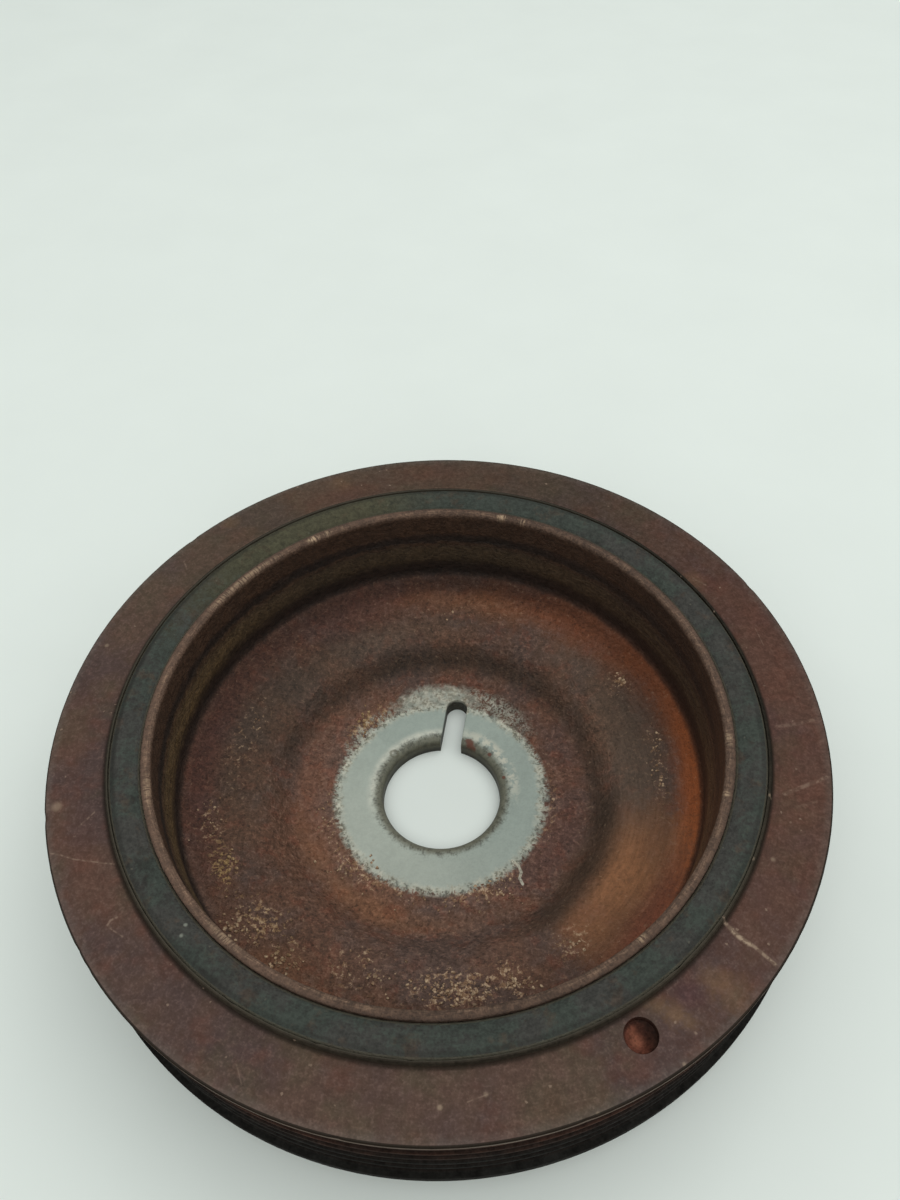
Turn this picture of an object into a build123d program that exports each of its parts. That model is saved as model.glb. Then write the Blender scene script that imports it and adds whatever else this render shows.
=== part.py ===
from build123d import *
import os
from math import cos, radians, sin, tan

# Harmonic balancer for a crankshaft nose: a ribbed iron ring carried by a rubber ring on a pressed steel hub.
# Millimetres. The axis is Z, the origin lies on the hub's back face, and +Z points out of the engine.

# Inertia ring
ring_radius = 76.0
ring_wall = 12.0
ring_back_z = 9.4
front_flange_height = 1.45
back_flange_height = 2.54
back_flange_proud = 0.35
front_edge_width = 0.25
front_edge_drop = 0.45
back_edge_chamfer = 0.6
bore_back_chamfer = 0.8
lip_height = 1.2
lip_foot_width = 0.8
lip_top_width = 0.45

# Belt track on the ring: grooves for a six-rib belt, with crests that lie below the flanges
rib_pitch = 3.56
groove_count = 6
groove_depth = 2.7
groove_angle = 40.0
rib_land = 0.75
crest_recess = 0.6

# Balancing hole drilled in the ring's front face, just outside the lip
drill_diameter = 5.5
drill_depth = 1.4
drill_point_angle = 118.0
drill_gap_to_lip = 1.05
drill_direction = -52.2

# Hub plate: a flat seat, then a shallow dish, a steep ramp and a gently rising web
plate_thickness = 4.2
seat_radius = 24.0
dish_angle = 6.0
ramp_foot_radius = 33.2
ramp_angle = 47.0
ramp_rise = 5.6
foot_bend_radius = 5.0
web_angle = 14.0
shoulder_bend_radius = 10.0
corner_bend_radius = 2.2

# Hub wall: turned outside, with a slight waist inside
rim_proud = 0.8
rim_thickness = 1.9
rim_edge_radius = 0.8
rim_outer_chamfer = 0.25
waist_depth = 0.9
waist_slope_start = 13.8
waist_slope_end = 8.4

# Bore and keyway in the hub's sunken centre
bore_diameter = 26.0
bore_edge_radius = 1.6
key_width = 4.8
key_slot_depth = 11.7
key_direction = 90.0

# Rubber ring
rubber_thickness = 6.0
rubber_back_recess = 5.3
rubber_edge_chamfer = 0.5
rubber_below_lip = 0.1
rubber_below_rim = 0.45
rubber_crown = 0.35

# Fits: the rubber fills the gap between the ring's bore and the hub's wall
ring_bore_radius = ring_radius - ring_wall
hub_radius = ring_bore_radius - rubber_thickness

# Levels along the axis
groove_mouth = rib_pitch - rib_land
track_height = groove_count * rib_pitch - rib_land
track_back_z = ring_back_z + back_flange_height
track_front_z = track_back_z + track_height
ring_front_z = track_front_z + front_flange_height
lip_top_z = ring_front_z + lip_height
rim_top_z = ring_front_z + rim_proud

os.makedirs("parts", exist_ok=True)


def back_point(front_point, angle_before, angle_after):
    """The plate's back corner behind a front corner, where the slope changes from one angle to another."""
    middle = radians((angle_before + angle_after) / 2)
    reach = plate_thickness / cos(radians((angle_after - angle_before) / 2))
    return (front_point[0] + reach * sin(middle), front_point[1] - reach * cos(middle))


# Inertia ring: one turned section, with the belt grooves cut into it as a row of trapezoids
crest_radius = ring_radius - crest_recess
back_flange_radius = ring_radius + back_flange_proud
lip_foot_radius = ring_bore_radius + lip_foot_width

with BuildPart() as inertia_ring:
    with BuildSketch(Plane.XZ) as ring_section:
        with BuildLine():
            Polyline(
                (ring_bore_radius, ring_back_z + bore_back_chamfer),
                (ring_bore_radius + bore_back_chamfer, ring_back_z),
                (back_flange_radius - back_edge_chamfer, ring_back_z),
                (back_flange_radius, ring_back_z + back_edge_chamfer),
                (back_flange_radius, track_back_z),
                (crest_radius, track_back_z),
                (crest_radius, track_front_z),
                (ring_radius, track_front_z),
                (ring_radius, ring_front_z - front_edge_drop),
                (ring_radius - front_edge_width, ring_front_z),
                (lip_foot_radius, ring_front_z),
                (ring_bore_radius + lip_top_width, lip_top_z),
                (ring_bore_radius, lip_top_z),
                close=True,
            )
        make_face()
        with Locations((crest_radius, track_back_z + track_height / 2)):
            with GridLocations(0, rib_pitch, 1, groove_count):
                Trapezoid(
                    groove_mouth,
                    groove_depth,
                    90 - groove_angle / 2,
                    rotation=90,
                    align=(Align.CENTER, Align.MIN),
                    mode=Mode.SUBTRACT,
                )
    revolve(axis=Axis.Z)
    # The balancing hole is drilled, so it ends in the drill's cone
    drill_circle_radius = lip_foot_radius + drill_gap_to_lip + drill_diameter / 2
    drill_point_height = drill_diameter / 2 / tan(radians(drill_point_angle / 2))
    with Locations(Plane.XY.offset(ring_front_z)):
        with PolarLocations(drill_circle_radius, 1, start_angle=drill_direction):
            Cylinder(
                drill_diameter / 2,
                drill_depth,
                align=(Align.CENTER, Align.CENTER, Align.MAX),
                mode=Mode.SUBTRACT,
            )
    with Locations(Plane.XY.offset(ring_front_z - drill_depth)):
        with PolarLocations(drill_circle_radius, 1, start_angle=drill_direction):
            Cone(
                0,
                drill_diameter / 2,
                drill_point_height,
                align=(Align.CENTER, Align.CENTER, Align.MAX),
                mode=Mode.SUBTRACT,
            )

inertia_ring.part.label = "inertia_ring"
export_step(inertia_ring.part, "parts/inertia_ring.step")


# Hub: a drawn plate of even thickness, a turned wall, and a bore with a rolled edge and a long keyway
bore_radius = bore_diameter / 2
wall_radius = hub_radius - rim_thickness
waist_radius = wall_radius - waist_depth
seat_edge = (seat_radius, plate_thickness)
ramp_foot = (ramp_foot_radius, seat_edge[1] + (ramp_foot_radius - seat_radius) * tan(radians(dish_angle)))
shoulder = (ramp_foot_radius + ramp_rise / tan(radians(ramp_angle)), ramp_foot[1] + ramp_rise)
corner = (waist_radius, shoulder[1] + (waist_radius - shoulder[0]) * tan(radians(web_angle)))
waist_start = (waist_radius, rim_top_z - waist_slope_start)
back_shoulder = back_point(shoulder, ramp_angle, web_angle)
back_corner = (hub_radius, back_shoulder[1] + (hub_radius - back_shoulder[0]) * tan(radians(web_angle)))
back_seat_edge = back_point(seat_edge, 0, dish_angle)

with BuildPart() as hub:
    with BuildSketch(Plane.XZ) as hub_section:
        with BuildLine():
            Line((bore_radius, plate_thickness), seat_edge)
            FilletPolyline(
                seat_edge,
                ramp_foot,
                shoulder,
                corner,
                waist_start,
                radius=(foot_bend_radius, shoulder_bend_radius, corner_bend_radius),
            )
            Polyline(
                waist_start,
                (wall_radius, rim_top_z - waist_slope_end),
                (wall_radius, rim_top_z),
                (hub_radius - rim_outer_chamfer, rim_top_z),
                (hub_radius, rim_top_z - rim_outer_chamfer),
            )
            FilletPolyline(
                (hub_radius, rim_top_z - rim_outer_chamfer),
                back_corner,
                back_shoulder,
                back_point(ramp_foot, dish_angle, ramp_angle),
                back_seat_edge,
                radius=(
                    corner_bend_radius + plate_thickness / 2,
                    shoulder_bend_radius - plate_thickness,
                    foot_bend_radius + plate_thickness,
                ),
            )
            Polyline(back_seat_edge, (bore_radius, 0), (bore_radius, plate_thickness))
        make_face()
    revolve(axis=Axis.Z)
    circles = hub.edges().filter_by(GeomType.CIRCLE)
    rim_inner_edge = circles.filter_by(lambda edge: abs(edge.radius - wall_radius) < 0.001).sort_by(Axis.Z)[-1]
    fillet(rim_inner_edge, rim_edge_radius)
    circles = hub.edges().filter_by(GeomType.CIRCLE)
    bore_front_edge = circles.filter_by(lambda edge: abs(edge.radius - bore_radius) < 0.001).sort_by(Axis.Z)[-1]
    fillet(bore_front_edge, bore_edge_radius)
    key_end_centre = bore_radius + key_slot_depth - key_width / 2
    with BuildSketch(Plane.XY) as keyway:
        with PolarLocations(key_end_centre, 1, start_angle=key_direction):
            Circle(key_width / 2)
            Rectangle(key_end_centre, key_width, align=(Align.MAX, Align.CENTER))
    extrude(amount=2 * plate_thickness, mode=Mode.SUBTRACT)

hub.part.label = "hub"
export_step(hub.part, "parts/hub.step")


# Rubber ring: squeezed into the gap between ring and hub, with a crowned front face
rubber_back_z = ring_back_z + rubber_back_recess
inner_front = (hub_radius + rubber_edge_chamfer, rim_top_z - rubber_below_rim)
outer_front = (ring_bore_radius - rubber_edge_chamfer, lip_top_z - rubber_below_lip)

with BuildPart() as rubber_ring:
    with BuildSketch(Plane.XZ) as rubber_section:
        with BuildLine():
            Polyline(
                inner_front,
                (hub_radius, inner_front[1] - rubber_edge_chamfer),
                (hub_radius, rubber_back_z + rubber_edge_chamfer),
                (hub_radius + rubber_edge_chamfer, rubber_back_z),
                (ring_bore_radius - rubber_edge_chamfer, rubber_back_z),
                (ring_bore_radius, rubber_back_z + rubber_edge_chamfer),
                (ring_bore_radius, outer_front[1] - rubber_edge_chamfer),
                outer_front,
            )
            SagittaArc(outer_front, inner_front, -rubber_crown)
        make_face()
    revolve(axis=Axis.Z)

rubber_ring.part.label = "rubber_ring"
export_step(rubber_ring.part, "parts/rubber_ring.step")
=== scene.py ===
import math
import random

import bmesh
import bpy
import numpy as np
from mathutils import Euler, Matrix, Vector, noise


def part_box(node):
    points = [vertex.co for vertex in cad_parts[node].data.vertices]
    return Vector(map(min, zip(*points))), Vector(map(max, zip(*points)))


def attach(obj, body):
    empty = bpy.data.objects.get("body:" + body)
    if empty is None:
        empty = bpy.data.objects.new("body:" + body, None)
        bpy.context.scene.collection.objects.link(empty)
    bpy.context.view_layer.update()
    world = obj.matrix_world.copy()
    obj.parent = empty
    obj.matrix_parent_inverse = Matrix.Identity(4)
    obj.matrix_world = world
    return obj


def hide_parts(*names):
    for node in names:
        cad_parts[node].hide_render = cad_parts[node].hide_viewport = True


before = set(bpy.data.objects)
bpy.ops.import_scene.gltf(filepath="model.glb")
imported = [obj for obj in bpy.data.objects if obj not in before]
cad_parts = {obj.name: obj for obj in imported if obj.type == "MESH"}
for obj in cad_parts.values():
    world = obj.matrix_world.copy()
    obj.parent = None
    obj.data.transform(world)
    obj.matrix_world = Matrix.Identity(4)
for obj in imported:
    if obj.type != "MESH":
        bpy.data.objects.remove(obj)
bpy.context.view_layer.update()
mm = 0.001                                   # everything below is given in millimetres
middleRadius = 50                            # where streaks round the axis have their stated length
print("frame loaded:", ", ".join(sorted(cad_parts)))


def cadSize(node):
    low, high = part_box(node)
    return {"radius": high.x / mm, "low": low.z / mm, "high": high.z / mm}


# outlines and turned meshes

def corner(radius, height, bend=0.0, skin=None, step=None):
    # one corner of a turned outline; skin and step hold from this corner on
    return {"at": np.array([radius, height], float), "bend": bend, "skin": skin, "step": step}


def roundedOutline(corners, finest=9.0):
    # replaces each corner that has a bend by an arc, then splits the long runs
    runs = []
    skin, step = 0, 2.0
    for i, this in enumerate(corners):
        before, after = corners[i - 1]["at"], corners[(i + 1) % len(corners)]["at"]
        into, out = this["at"] - before, after - this["at"]
        into, out = into / np.linalg.norm(into), out / np.linalg.norm(out)
        turn = math.acos(max(-1.0, min(1.0, float(into @ out))))
        oldSkin, oldStep = skin, step
        skin = this["skin"] if this["skin"] is not None else skin
        step = this["step"] if this["step"] is not None else step
        if this["bend"] <= 0 or turn < 0.01:
            runs.append((this["at"], skin, step))
            continue
        side = 1.0 if into[0] * out[1] - into[1] * out[0] > 0 else -1.0
        start = this["at"] - into * this["bend"] * math.tan(turn / 2)
        centre = start + side * this["bend"] * np.array([-into[1], into[0]])
        pieces = max(2, math.ceil(math.degrees(turn) / finest), math.ceil(turn * this["bend"] / step))
        for k in range(pieces + 1):
            a = side * turn * k / pieces
            spoke = start - centre
            point = centre + np.array([
                spoke[0] * math.cos(a) - spoke[1] * math.sin(a),
                spoke[0] * math.sin(a) + spoke[1] * math.cos(a),
            ])
            late = k * 2 >= pieces
            runs.append((point, skin if late else oldSkin, step if late else oldStep))
    points, skins = [], []
    for i, (point, skin, step) in enumerate(runs):
        after = runs[(i + 1) % len(runs)][0]
        pieces = max(1, math.ceil(np.linalg.norm(after - point) / step - 0.01))
        for k in range(pieces):
            points.append(point + (after - point) * k / pieces)
            skins.append(skin)
    return np.array(points), skins


def turned(name, corners, segments, skins):
    # spins an outline about Z into one closed mesh; skins are its materials
    outline, skinOf = roundedOutline(corners)
    count = len(outline)
    turns = np.arange(segments) * 2 * math.pi / segments
    x = outline[:, 0][None, :] * np.cos(turns)[:, None]
    y = outline[:, 0][None, :] * np.sin(turns)[:, None]
    z = np.repeat(outline[:, 1][None, :], segments, axis=0)
    verts = np.stack([x, y, z], -1).reshape(-1, 3) * mm
    i, j = np.meshgrid(np.arange(count), np.arange(segments))
    i, j = i.ravel(), j.ravel()
    iNext, jNext = (i + 1) % count, (j + 1) % segments
    faces = np.stack([i + j * count, i + jNext * count, iNext + jNext * count, iNext + j * count], -1)
    area = np.sum(outline[:, 0] * np.roll(outline[:, 1], -1) - np.roll(outline[:, 0], -1) * outline[:, 1])
    if area < 0:
        faces = faces[:, ::-1]
    mesh = bpy.data.meshes.new(name)
    mesh.from_pydata(verts, [], faces.tolist())
    for skin in skins:
        mesh.materials.append(skin)
    mesh.polygons.foreach_set("material_index", np.array(skinOf, np.int32)[i])
    piece = bpy.data.objects.new(name, mesh)
    bpy.context.scene.collection.objects.link(piece)
    print(name, "turned:", len(verts), "points")
    return piece


def cutAway(piece, cutter):
    # exact cut, applied to the mesh; the cutter goes
    cut = piece.modifiers.new("cut", "BOOLEAN")
    cut.operation, cut.solver, cut.object = "DIFFERENCE", "EXACT", cutter
    graph = bpy.context.evaluated_depsgraph_get()
    done = bpy.data.meshes.new_from_object(piece.evaluated_get(graph))
    piece.modifiers.remove(cut)
    old, piece.data = piece.data, done
    done.name = piece.name
    bpy.data.meshes.remove(old)
    tool = cutter.data
    bpy.data.objects.remove(cutter)
    bpy.data.meshes.remove(tool)


def stacked(name, loops):
    # a closed solid through loops of as many points each, from the lowest to the highest
    mesh = bpy.data.meshes.new(name)
    form = bmesh.new()
    rings = [[form.verts.new(Vector(p) * mm) for p in loop] for loop in loops]
    for low, high in zip(rings, rings[1:]):
        for k in range(len(low)):
            n = (k + 1) % len(low)
            form.faces.new((low[k], low[n], high[n], high[k]))
    form.faces.new(rings[0][::-1])
    form.faces.new(rings[-1])
    bmesh.ops.recalc_face_normals(form, faces=form.faces)
    form.to_mesh(mesh)
    form.free()
    piece = bpy.data.objects.new(name, mesh)
    bpy.context.scene.collection.objects.link(piece)
    return piece


def etch(piece, depth):
    # moves each point inwards by depth(x, y, z), so nothing grows past the outline
    mesh = piece.data
    count = len(mesh.vertices)
    place, normal = np.zeros(count * 3, np.float32), np.zeros(count * 3, np.float32)
    mesh.vertices.foreach_get("co", place)
    mesh.vertex_normals.foreach_get("vector", normal)
    place, normal = place.reshape(-1, 3), normal.reshape(-1, 3)
    amounts = np.array([depth(*(p / mm)) for p in place.astype(float)])
    place -= (normal * amounts[:, None] * mm).astype(np.float32)
    mesh.vertices.foreach_set("co", place.ravel())
    mesh.update()


def smoothed(piece, angle):
    for face in piece.data.polygons:
        face.use_smooth = True
    bpy.ops.object.select_all(action="DESELECT")
    bpy.context.view_layer.objects.active = piece
    piece.select_set(True)
    bpy.ops.object.shade_smooth_by_angle(angle=math.radians(angle))


def pitted(x, y, z, size, octaves=3):
    # 0 to 1 noise at a grain size in millimetres
    value = noise.fractal(Vector((x, y, z)) / size, 0.9, 2.1, octaves)
    return max(0.0, min(1.0, 0.5 + 0.6 * value))


def nearby(x, y, z, nicks):
    # summed depth of the small dents close to a point
    total = 0.0
    for (nx, ny, nz), size, depth in nicks:
        away = ((x - nx) ** 2 + (y - ny) ** 2 + (z - nz) ** 2) / (size * size)
        if away < 6:
            total += depth * math.exp(-away)
    return total


def polar(radius, angle, height=0.0):
    return (radius * math.cos(math.radians(angle)), radius * math.sin(math.radians(angle)), height)


# node wiring

def tones(**named):
    # screen colours as the linear ones that shaders take
    linear = lambda part: part / 12.92 if part < 0.04045 else ((part + 0.055) / 1.055) ** 2.4
    return {name: (*(linear(part / 255) for part in parts), 1.0) for name, parts in named.items()}


class Wires:
    # short hands to wire a material; a value is a number, a socket or the name of a tone
    def __init__(self, name, tones, gloss=0.25):
        self.material = bpy.data.materials.new(name)
        self.material.use_nodes = True
        self.tree, self.tones = self.material.node_tree, tones
        self.shader = self.tree.nodes["Principled BSDF"]
        self.shader.inputs["Specular IOR Level"].default_value = gloss
        self.place = self.scaled(self.node("TexCoord").outputs["Object"], 1 / mm)
        self.x, self.y, self.z = self.node("SeparateXYZ", self.place).outputs
        self.radius = self.length(self.x, self.y)
        self.angle = self.math("DEGREES", self.math("ARCTAN2", self.y, self.x))
        reach = self.math("MAXIMUM", self.radius, 0.01)
        self.cosine, self.sine = self.math("DIVIDE", self.x, reach), self.math("DIVIDE", self.y, reach)
        self.made = {}                       # noise that was asked for before, so that it is wired once
        self.colour = None                   # the skin's colour so far

    def feed(self, socket, value):
        if isinstance(value, bpy.types.NodeSocket):
            self.tree.links.new(value, socket)
        else:
            socket.default_value = self.tones.get(value, value)

    def node(self, kind, *values, **settings):
        # a new node with its settings, and values for its first sockets
        made = self.tree.nodes.new("ShaderNode" + kind)
        for key, value in settings.items():
            setattr(made, key, value)
        for socket, value in zip(made.inputs, values):
            self.feed(socket, value)
        return made

    def math(self, kind, *values):
        return self.node("Math", *values, operation=kind).outputs[0]

    def folded(self, kind, values):
        # a tuple among the values is multiplied out first
        values = [self.times(*value) if isinstance(value, tuple) else value for value in values]
        total = values[0]
        for value in values[1:]:
            total = self.math(kind, total, value)
        return total

    def add(self, *values):
        return self.folded("ADD", values)

    def times(self, *values):
        return self.folded("MULTIPLY", values)

    def most(self, *values):
        return self.folded("MAXIMUM", values)

    def less(self, value, taken):
        return self.math("SUBTRACT", value, taken)

    def length(self, across, along):
        # multiplied out, since a power node is slow
        return self.math("SQRT", self.add(self.times(across, across), self.times(along, along)))

    def scaled(self, vector, factor):
        node = self.node("VectorMath", vector, operation="SCALE")
        node.inputs["Scale"].default_value = factor
        return node.outputs[0]

    def point(self, x, y, z):
        return self.node("CombineXYZ", x, y, z).outputs[0]

    def noise(self, size, detail, rough, place):
        node = self.node("TexNoise", place)
        for key, value in (("Scale", 1 / size), ("Detail", detail), ("Roughness", rough)):
            node.inputs[key].default_value = value
        return node

    def grain(self, size, detail=4.0, rough=0.55):
        # noise with features of about size millimetres, 0 to 1
        if (size, detail, rough) not in self.made:
            self.made[size, detail, rough] = self.noise(size, detail, rough, self.place).outputs["Fac"]
        return self.made[size, detail, rough]

    def cells(self, size, place):
        # distance to the nearest of scattered dots, in dot spacings, and each dot's own random value
        node = self.node("TexVoronoi", place)
        node.inputs["Scale"].default_value = 1 / size
        return node.outputs["Distance"], self.node("SeparateColor", node.outputs["Color"]).outputs[0]

    def fade(self, value, start, end):
        # 0 at start to 1 at end, softly
        ends = (0.0, 1.0) if start < end else (1.0, 0.0)
        span = (min(start, end), max(start, end))
        return self.node("MapRange", value, *span, *ends, interpolation_type="SMOOTHSTEP").outputs["Result"]

    def band(self, value, low, high, soft):
        # 1 between low and high, 0 outside
        rise = self.fade(value, low - soft, low + soft)
        return self.times(rise, self.fade(value, high + soft, high - soft))

    def mixed(self, under, over, share, kind="MIX"):
        node = self.node("Mix", share, data_type="RGBA", blend_type=kind)
        self.feed(node.inputs[6], under)
        self.feed(node.inputs[7], over)
        return node.outputs[2]

    def mixedValue(self, under, over, share):
        node = self.node("Mix", share, data_type="FLOAT")
        self.feed(node.inputs[2], under)
        self.feed(node.inputs[3], over)
        return node.outputs[0]

    def over(self, colour, tone, *shares):
        # a tone laid over a colour, as strongly as its shares multiplied
        return self.mixed(colour, tone, self.times(*shares))

    def lay(self, tone, *shares):
        # the same over the skin's colour so far
        self.colour = self.over(self.colour, tone, *shares)

    def shaken(self, size, reach):
        # the place in millimetres, pushed about by noise, so that round dots turn ragged
        noise = self.noise(size, 2.0, 0.5, self.place).outputs["Color"]
        return self.node("VectorMath", noise, (reach,) * 3, self.place, operation="MULTIPLY_ADD").outputs[0]

    def wander(self, size, reach):
        # a slow push in millimetres, to make edges ragged
        return self.times(self.less(self.grain(size, 3, 0.65), 0.5), reach * 2)

    def patch(self, radius, angle, across, along, soft=0.5, push=0.0):
        # a stain round a place on the disc: across is its half width out from the axis, along is in degrees
        out = self.math("DIVIDE", self.less(self.radius, radius), across)
        turn = self.math("DIVIDE", self.math("WRAP", self.less(self.angle, angle), 180, -180), along)
        return self.fade(self.add(self.length(out, turn), push), 1 + soft, 1 - soft)

    def patches(self, table, push=0.0):
        # rows of radius, angle, across, along, softness and strength, ready to be added up
        return [(self.patch(*row[:5], push), row[5]) for row in table]

    def stains(self, table, soft, push, *masks):
        # rows of radius, angle, across, along, tone and strength
        for *place, tone, share in table:
            self.lay(tone, self.patch(*place, soft, push), share, *masks)

    def away(self, x, y):
        # distance from a place seen from above
        return self.length(self.less(self.x, x), self.less(self.y, y))

    def spot(self, x, y, size, soft=0.4, push=0.0):
        return self.fade(self.add(self.math("DIVIDE", self.away(x, y), size), push), 1 + soft, 1 - soft)

    def spots(self, tone, table, soft, push, *masks):
        # rows of x, y, size and strength
        for *place, share in table:
            self.lay(tone, self.spot(*place, soft, push), share, *masks)

    def stroke(self, places, width, push=0.0):
        # a scratch through two or more places seen from above
        nearest = None
        for start, end in zip(places, places[1:]):
            run = (end[0] - start[0], end[1] - start[1])
            dx, dy = self.less(self.x, start[0]), self.less(self.y, start[1])
            along = self.add(self.times(dx, run[0]), self.times(dy, run[1]))
            along = self.math("DIVIDE", along, run[0] ** 2 + run[1] ** 2)
            along = self.node("Clamp", along).outputs[0]
            dx, dy = self.less(dx, self.times(along, run[0])), self.less(dy, self.times(along, run[1]))
            away = self.length(dx, dy)
            nearest = away if nearest is None else self.math("MINIMUM", nearest, away)
        return self.fade(self.add(nearest, push), width, width * 0.2)

    def around(self, size, length, detail=3.0):
        # streaks that run round the axis, with their size and length in millimetres
        reach = middleRadius * size / length
        across = self.add(self.radius, self.z)
        place = self.point(self.times(self.cosine, reach), self.times(self.sine, reach), across)
        return self.noise(size, detail, 0.6, place).outputs["Fac"]

    def spokes(self, size, length, radius, detail=3.0):
        # short streaks that run out from the axis, as seen at a radius
        across = self.times(self.radius, size / length)
        place = self.point(self.times(self.cosine, radius), self.times(self.sine, radius), across)
        return self.noise(size, detail, 0.6, place).outputs["Fac"]

    def keen(self, value, spread=0.17):
        # noise stretched about its middle, 0 to 1
        return self.fade(value, 0.5 - spread, 0.5 + spread)

    def gritty(self):
        # rust grit in three sizes, 0 to 1, its distance from its middle, and its three shares
        coarse, medium, fine = self.grain(2.4, 3, 0.6), self.grain(0.95, 2, 0.6), self.grain(0.42, 1, 0.5)
        parts = (self.keen(coarse, 0.14), 0.3), (self.keen(medium, 0.13), 0.4), (self.keen(fine, 0.17), 0.3)
        grit = self.add(*parts)
        return grit, self.less(grit, 0.5), coarse, medium, fine

    def shade(self, colour, *parts):
        # a colour made lighter or darker by a sum
        value = self.add(*parts)
        return self.mixed(colour, self.point(value, value, value), 1.0, "MULTIPLY")

    def relief(self, height, depth):
        # bump from a 0 to 1 height, depth in millimetres
        node = self.node("Bump")
        node.inputs["Distance"].default_value = depth * mm
        self.feed(node.inputs["Height"], height)
        return node.outputs[0]

    def finish(self, rough, normal=None, metal=None):
        parts = {"Base Color": self.colour, "Roughness": rough, "Normal": normal, "Metallic": metal}
        for key, value in parts.items():
            if value is not None:
                self.feed(self.shader.inputs[key], value)
        return self.material


# the iron ring

ringCad = cadSize("inertia_ring")
rubberCad = cadSize("rubber_ring")
hubCad = cadSize("hub")

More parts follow.
